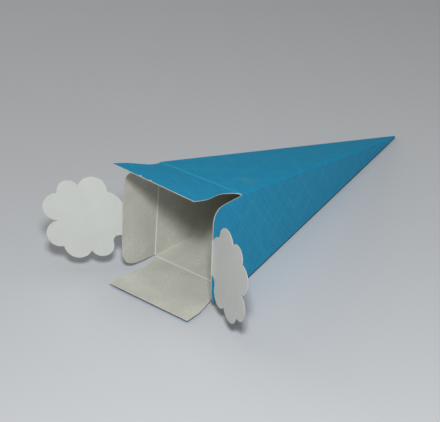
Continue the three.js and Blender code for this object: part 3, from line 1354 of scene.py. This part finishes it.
@dataclass
class PlainFlap:
    """The flap above or below the mouth: a waist near the crease, then a flare."""

    finishes: Finishes
    name: str
    wall: Wall
    lift: float  # degrees to the outside
    turn: float = 0.0  # degrees of twist
    splay: float = 0.0  # how much further out the outer corner on the +X side stands
    nicks: tuple[float, ...] = ()  # where along the outer edge the die left a burr
    burr: float = 0.9 * MM  # how far it stands out
    curl: float = 0.8 * MM  # how far its end is raised
    burr_end: float = 0.8  # its end's share of its width
    cone: Cone = CONE
    depth: float = 32.5 * MM
    waist_distance: float = 12 * MM
    waist_inset: float = 3.6 * MM
    waist_curve: float = 4 * MM
    flare_distance: float = 24 * MM
    flare_inset: float = 0.7 * MM
    curve_steps: int = 12
    flare_shares: tuple[float, ...] = (0.33, 0.66, 1.0)  # rows from the waist to the flare
    end_shares: tuple[float, ...] = (0.5, 1.0)  # and from there to the outer edge
    clear_of_crease: float = 1.2  # score reaches that the other rows keep from the crease
    columns: int = 48

    def half_rows(self) -> list[tuple[float, float]]:
        """The flap's outline.

        Returns:
            Distance from the crease and half width of each row.
        """
        half = self.cone.mouth_side / 2
        root, waist, flare = self.cone.inner_half, half - self.waist_inset, half - self.flare_inset
        rows = []
        for step in range(self.curve_steps + 1):
            share = step / self.curve_steps
            y = 2 * share * (1 - share) * self.waist_curve + share * share * self.waist_distance
            rows.append((y, (1 - share) ** 2 * root + (1 - (1 - share) ** 2) * waist))
        for share in self.flare_shares:
            y = self.waist_distance + share * (self.flare_distance - self.waist_distance)
            rows.append((y, waist + share * (flare - waist)))
        for share in self.end_shares:
            rows.append((self.flare_distance + share * (self.depth - self.flare_distance), flare))
        return rows

    def rows(self) -> list[Row]:
        """The sheet's rows, with close ones over the scored crease.

        Returns:
            The rows, the crease first.
        """
        wide = self.half_rows()
        beyond = {y for y, _ in wide if y > SCORE_REACH * self.clear_of_crease}
        rows = []
        for y in sorted(crease_rows() | beyond):
            half = self._half(wide, y)
            rows.append(Row(y, -half, half + self.splay * (y / self.depth) ** 2))
        return rows

    @staticmethod
    def _half(wide: list[tuple[float, float]], y: float) -> float:
        """The half width between two rows of the outline.

        Args:
            wide: The outline.
            y: The distance from the crease.

        Returns:
            The half width there.
        """
        for (near, near_half), (far, far_half) in zip(wide, wide[1:]):
            if y <= far + SAME_PLACE:
                return near_half + (far_half - near_half) * (y - near) / (far - near)
        return wide[-1][1]

    def _burrs(self, sheet: Sheet) -> None:
        """Draws small torn bits out of the outer edge.

        Args:
            sheet: The flat flap, before it is thickened.
        """
        piece = sheet.piece
        reach, outer = self.rows()[-1].high / self.columns, self.depth - SAME_PLACE
        with editing(piece, Element.EDGES):
            for place in self.nicks:
                pick(
                    piece, Element.EDGES,
                    lambda centre, edge: centre.y > outer and abs(centre.x - place) <= reach,
                )
                bpy.ops.mesh.extrude_region_move(TRANSFORM_OT_translate={"value": (0, self.burr, self.curl)})
                bpy.ops.transform.resize(value=(self.burr_end, 1, 1), center_override=(place, 0, 0))

    def _bare(self, sheet: Sheet) -> None:
        """Shows the torn core on the burrs.

        Args:
            sheet: The flat flap, thickened and mapped.
        """
        mesh = sheet.piece.data
        for face in mesh.polygons:
            if face.center.y > self.depth + self.burr / 4:
                face.material_index = Layer.CUT_EDGE.value
        layer = mesh.attributes[DEPTH].data
        for vertex in mesh.vertices:
            if vertex.co.y > self.depth + SAME_PLACE:
                layer[vertex.index].value = 0.0

    def build(self) -> bpy.types.Object:
        """Models the flap flat, folds it and puts it on the cone's body.

        Returns:
            The piece.
        """
        sheet = Sheet.grown(self.name, self.wall, self.rows(), self.columns)
        self._burrs(sheet)
        sheet.thicken()
        sheet.map_blank()
        self._bare(sheet)
        # Painted highlight along the crease, by the fold's angle.
        sheet.painted_highlight(math.radians(self.lift))
        sheet.score(0.0)
        sheet.fold(0.0, math.radians(self.lift))
        sheet.twist(math.radians(self.turn), self.depth)
        dress(sheet.piece, self.finishes.printed)
        sheet.lay()
        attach(sheet.piece, "cone")
        return sheet.piece


@dataclass(frozen=True)
class Side:
    """What tells the left side flap from the right one."""

    name: str
    wall: Wall
    up: int  # the sign of the crease frame's x towards the top wall
    flap_angle: float  # degrees to the outside
    cloud_fold: float  # degrees to the outside of the flap
    turn: float  # degrees of twist, the upper side to the outside


LEFT = Side("left", Wall.LEFT, -1, -3.5, 48.1, 1.3)
RIGHT = Side("right", Wall.RIGHT, 1, 0.3, 55.2, -2.1)


@dataclass
class SideFlap:
    """A side flap with rounded outer corners, creased to its wall."""

    finishes: Finishes
    side: Side
    cone: Cone = CONE
    closing_gap: float = 5 * MM
    wall_gap: float = 0.4 * MM
    upper_radius: float = 7.5 * MM
    lower_radius: float = 10.5 * MM
    twist_reach: float = 12 * MM
    corner_steps: int = 12
    plain_rows: tuple[float, ...] = (2 * MM, 4 * MM, 7 * MM, 10 * MM)  # between the crease and the corners
    row_gap: float = 0.02 * MM  # least between two rows
    columns: int = 36

    @property
    def depth(self) -> float:
        """From the crease to the cloud's fold."""
        return (self.cone.mouth_side - self.closing_gap) / 2

    @property
    def half(self) -> float:
        """Half of the flap's width."""
        return self.cone.inner_half - self.wall_gap

    def _corner_inset(self, y: float, radius: float) -> float:
        """How far a rounded corner draws the side in.

        Args:
            y: The distance from the crease.
            radius: The corner's radius.

        Returns:
            The inset there.
        """
        rise = (y - (self.depth - radius)) / radius
        if rise <= 0:
            return 0.0
        share = 1 - math.sqrt(max(0.0, 1 - rise))
        return radius * share * share

    def distances(self) -> list[float]:
        """Where the rows lie, close over the crease and round the corners.

        Returns:
            Distances from the crease, in order.
        """
        wanted = crease_rows() | set(self.plain_rows)
        for radius in (self.upper_radius, self.lower_radius):
            for step in range(self.corner_steps + 1):
                wanted.add(self.depth - radius * (1 - step / self.corner_steps) ** 2)
        kept = [0.0]
        for y in sorted(wanted):
            if y - kept[-1] > self.row_gap:
                kept.append(y)
        kept[-1] = self.depth
        return kept

    def rows(self) -> list[Row]:
        """The sheet's rows.

        Returns:
            The rows, the crease first.
        """
        rows = []
        for y in self.distances():
            upper = self.half - self._corner_inset(y, self.upper_radius)
            lower = self.half - self._corner_inset(y, self.lower_radius)
            rows.append(Row(y, *sorted((self.side.up * upper, -self.side.up * lower))))
        return rows

    def build(self) -> bpy.types.Object:
        """Models the flap, folds and twists it, and lays it in place.

        Returns:
            The piece.
        """
        side, angle = self.side, math.radians(self.side.flap_angle)
        sheet = Sheet.grown(f"{side.name}_flap_card", side.wall, self.rows(), self.columns)
        sheet.thicken()
        sheet.map_blank()
        # Painted highlight along the crease, by the fold's angle.
        sheet.painted_highlight(angle)
        sheet.score(0.0)
        sheet.fold(0.0, angle)
        sheet.twist(math.radians(side.turn) * side.up, self.twist_reach)
        dress(sheet.piece, self.finishes.printed)
        sheet.lay()
        start = self.cone.in_row(side.wall, Vector())
        end = self.cone.in_row(side.wall, turned(Vector((0, SCORE_REACH, 0)), 0.0, angle))
        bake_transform(sheet.piece)
        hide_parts(f"{side.name}_flap")
        return sheet.piece


@dataclass(frozen=True)
class Lobe:
    """One arc of the cloud: the notch in which it ends, and its bulge, as shares."""

    up: float
    out: float
    swell: float


@dataclass
class CloudTab:
    """The bare cloud on a side flap's outer edge."""

    finishes: Finishes
    flap: SideFlap
    width: float = 42.4 * MM
    height: float = 38 * MM
    neck_width: float = 17 * MM
    neck_rise: float = 1.7 * MM
    edge_setback: float = 0.35 * MM
    neck_profile: float = 0.5625  # of the bevel where the neck meets the last lobe
    neck_steps: int = 8
    at_corner: float = 0.02 * MM  # closer than this, a point is the one to bevel
    arc_steps: int = 18
    grid: float = 6 * MM
    grid_rows: int = 6  # beyond the fold
    grid_columns: int = 3  # to each side
    lobes: tuple[Lobe, ...] = (
        Lobe(0.314, 0.197, 0.09),
        Lobe(0.366, 0.558, 0.42),
        Lobe(0.257, 0.816, 0.4),
        Lobe(-0.073, 0.797, 0.5),
        Lobe(-0.384, 0.718, 0.52),
        Lobe(-0.415, 0.374, 0.37),
        Lobe(-0.285, 0.105, 0.45),
    )

    def place(self, along: float, out: float) -> Vector:
        """A point of the outline, given up from the neck's middle and out from the fold."""
        return Vector((self.flap.side.up * (self.neck_rise + along), self.flap.depth + out, 0))

    def outline(self, name: str) -> bpy.types.Object:
        """The cloud's flat outline as one face, spun lobe by lobe from the neck's upper end.

        Args:
            name: The piece's name.

        Returns:
            The piece.
        """
        half_neck, last_notch = self.neck_width / 2, self.lobes[-1].out * self.height
        start = self.place(half_neck, 0)
        piece = plane(name, MM, MM, start)
        with editing(piece):
            bpy.ops.mesh.select_all(action="SELECT")
            bpy.ops.mesh.merge(type="CENTER")
            at = self._draw_to(start, self.place(half_neck, self.edge_setback))
            for lobe in self.lobes:
                notch = self.place(lobe.up * self.width, lobe.out * self.height)
                self._spin(at, notch, lobe.swell)
                at = notch
            corner = self._draw_to(at, self.place(-half_neck, last_notch))
            self._draw_to(corner, self.place(-half_neck, 0))
            bpy.ops.mesh.select_all(action="SELECT")
            bpy.ops.mesh.edge_face_add()
            pick(piece, Element.VERTICES, lambda point, vertex: (point - corner).length < self.at_corner)
            bpy.ops.mesh.bevel(
                offset=last_notch - self.edge_setback, segments=self.neck_steps, affect="VERTICES",
                profile=self.neck_profile,
            )
        return piece

    @staticmethod
    def _draw_to(start: Vector, end: Vector) -> Vector:
        """Extrudes the selected point to another."""
        bpy.ops.mesh.extrude_region_move(TRANSFORM_OT_translate={"value": end - start})
        return end

    def _spin(self, start: Vector, end: Vector, swell: float) -> None:
        """Spins the selected point round a lobe, which bulges away from the cloud's middle.

        Args:
            start: Where the point is.
            end: Where the lobe ends.
            swell: Its bulge, as a share of its chord.
        """
        chord = end - start
        half, bulge = chord.length / 2, swell * chord.length
        radius = (half * half + bulge * bulge) / (2 * bulge)
        hand = self.flap.side.up
        left = hand * Vector((chord.y, -chord.x, 0)).normalized()
        centre = (start + end) / 2 + left * (bulge - radius)
        sweep = 4 * math.atan2(bulge, half)
        bpy.ops.mesh.spin(steps=self.arc_steps, angle=sweep, center=centre, axis=(0, 0, -hand))

    def _slice(self, piece: bpy.types.Object) -> None:
        """Cuts the outline's face into rows over the fold and a loose grid beyond.

        Args:
            piece: The flat cloud.
        """
        depth = self.flap.depth
        over_fold = sorted(crease_rows(depth))[1:]
        beyond = [depth + self.grid * step for step in range(1, self.grid_rows + 1)]
        cuts = [((0, y, 0), (0, 1, 0)) for y in over_fold + beyond]
        for step in range(-self.grid_columns, self.grid_columns + 1):
            cuts.append(((self.grid * step, 0, 0), (1, 0, 0)))
        with editing(piece, Element.FACES):
            for place, normal in cuts:
                bpy.ops.mesh.select_all(action="SELECT")
                bpy.ops.mesh.bisect(plane_co=place, plane_no=normal)

    def build(self) -> bpy.types.Object:
        """Models the cloud, folds it from the flap, twists it and lays it in place.

        Returns:
            The piece.
        """
        flap, side, depth = self.flap, self.flap.side, self.flap.depth
        flap_angle, cloud_angle = math.radians(side.flap_angle), math.radians(side.cloud_fold)
        piece = self.outline(f"{side.name}_cloud_card")
        sheet = Sheet(piece, side.wall)
        self._slice(piece)
        sheet.thicken()
        sheet.map_blank()
        sheet.score(depth)
        sheet.fold(depth, cloud_angle)
        sheet.fold(0.0, flap_angle)
        sheet.twist(math.radians(side.turn) * side.up, flap.twist_reach)
        dress(piece, self.finishes.bare)
        sheet.lay()
        beyond = turned(Vector((0, depth + SCORE_REACH, 0)), depth, cloud_angle)
        start = flap.cone.in_row(side.wall, turned(Vector((0, depth, 0)), 0.0, flap_angle))
        end = flap.cone.in_row(side.wall, turned(beyond, 0.0, flap_angle))
        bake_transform(piece)
        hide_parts(f"{side.name}_cloud_tab")
        return piece


# Studio


@dataclass(frozen=True)
class Lamp:
    """A square soft lamp that looks at the box."""

    name: str
    place: tuple[float, float, float]
    size: float  # its side
    power: float  # in watts
    colour: tuple[float, float, float]

    def hang(self, target: Vector) -> None:
        """Adds the lamp.

        Args:
            target: Where it looks.
        """
        light = bpy.data.lights.new(self.name, "AREA")
        light.shape, light.size, light.energy, light.color = "SQUARE", self.size, self.power, self.colour
        lamp = bpy.data.objects.new(self.name, light)
        bpy.context.scene.collection.objects.link(lamp)
        lamp.location = self.place
        lamp.rotation_euler = (target - lamp.location).to_track_quat("-Z", "Y").to_euler()


@dataclass
class Studio:
    """The table, the soft lamps and the camera."""

    azimuth: float = 40.95  # degrees
    elevation: float = 31.26
    roll: float = -1.78
    distance: float = 634.5 * MM
    shift: tuple[float, float] = (12.74 * MM, 3.91 * MM)  # of the camera, to its left and down
    target: tuple[float, float, float] = (0.0, -18.667 * MM, 20 * MM)
    focal: float = 106.25  # millimetres on the sensor
    sensor: float = 36
    clip: tuple[float, float] = (0.01, 20)
    table_size: float = 6.0
    table_drop: float = 0.3 * MM  # under the box, for a thin contact shadow
    lamps: tuple[Lamp, ...] = (
        Lamp("key", (0.31, -0.39, 0.46), 0.08, 3.15, (0.97, 0.99, 1.0)),
        Lamp("left_fill", (-0.95, 0.0, 0.50), 0.8, 2.3, (1.0, 0.98, 0.95)),
        Lamp("right_fill", (0.95, 0.1, 0.50), 0.8, 0.55, (1.0, 0.98, 0.95)),
        Lamp("overhead", (0.0, 0.0, 1.2), 1.0, 2.9, (1.0, 0.96, 0.91)),
    )  # a soft one above the camera, and broad ones at both sides and overhead
    room_colour: Colour = (1.0, 0.97, 0.925, 1.0)
    room_strength: float = 0.09

    def table(self) -> bpy.types.Object:
        """A plain pale table top under the box.

        Returns:
            The staged piece.
        """
        piece = plane("table_top", self.table_size, self.table_size, Vector((0, 0, -self.table_drop)))
        piece.data.materials.append(TableTop().material())
        return piece

    def light(self) -> None:
        """Hangs the lamps in a dim room."""
        for lamp in self.lamps:
            lamp.hang(Vector(self.target))
        world = bpy.data.worlds.new("room")
        bpy.context.scene.world = world
        world.use_nodes = True
        background = world.node_tree.nodes["Background"]
        background.inputs["Color"].default_value = self.room_colour
        background.inputs["Strength"].default_value = self.room_strength

    def camera(self) -> None:
        """The camera at the photograph's angle."""
        degrees = (self.azimuth, self.elevation, self.roll)
        azimuth, elevation, roll = (math.radians(angle) for angle in degrees)
        across, rise = math.cos(elevation), math.sin(elevation)
        back = Vector((math.sin(azimuth) * across, -math.cos(azimuth) * across, rise))
        level = Vector((math.cos(azimuth), math.sin(azimuth), 0))
        upright = back.cross(level)
        right = math.cos(roll) * level + math.sin(roll) * upright
        up = math.cos(roll) * upright - math.sin(roll) * level
        place = Vector(self.target) + back * self.distance - right * self.shift[0] - up * self.shift[1]
        data = bpy.data.cameras.new("view")
        data.sensor_width, data.lens = self.sensor, self.focal
        data.clip_start, data.clip_end = self.clip
        camera = bpy.data.objects.new("view", data)
        bpy.context.scene.collection.objects.link(camera)
        camera.matrix_world = Matrix.Translation(place) @ Matrix((right, up, back)).transposed().to_4x4()
        bpy.context.scene.camera = camera

    def build(self) -> None:
        """Sets up everything around the box."""
        self.table()
        self.light()
        self.camera()
        bpy.context.scene.view_settings.view_transform = "Standard"


def report(piece: bpy.types.Object) -> None:
    """Logs a piece's size in faces."""
    log.info("%s: %d faces", piece.name, len(piece.data.polygons))


def main() -> None:
    """Builds the box and the studio round it."""
    logging.basicConfig(level=logging.INFO, format="%(name)s: %(message)s")
    Studio().build()
    finishes = Finishes.make()
    report(ConeSleeve(finishes).build())
    report(GlueTab(finishes).build())
    top = PlainFlap(
        finishes, "top_flap_card", Wall.TOP, lift=4.3, turn=2.2, splay=0.8 * MM,
        nicks=(7.3 * MM, 0.9 * MM), depth=33.2 * MM,
    )
    report(top.build())
    report(PlainFlap(finishes, "bottom_flap_card", Wall.BOTTOM, lift=-2.3).build())
    for side in (LEFT, RIGHT):
        flap = SideFlap(finishes, side)
        report(flap.build())
        report(CloudTab(finishes, flap).build())


if __name__ == "__main__":
    main()
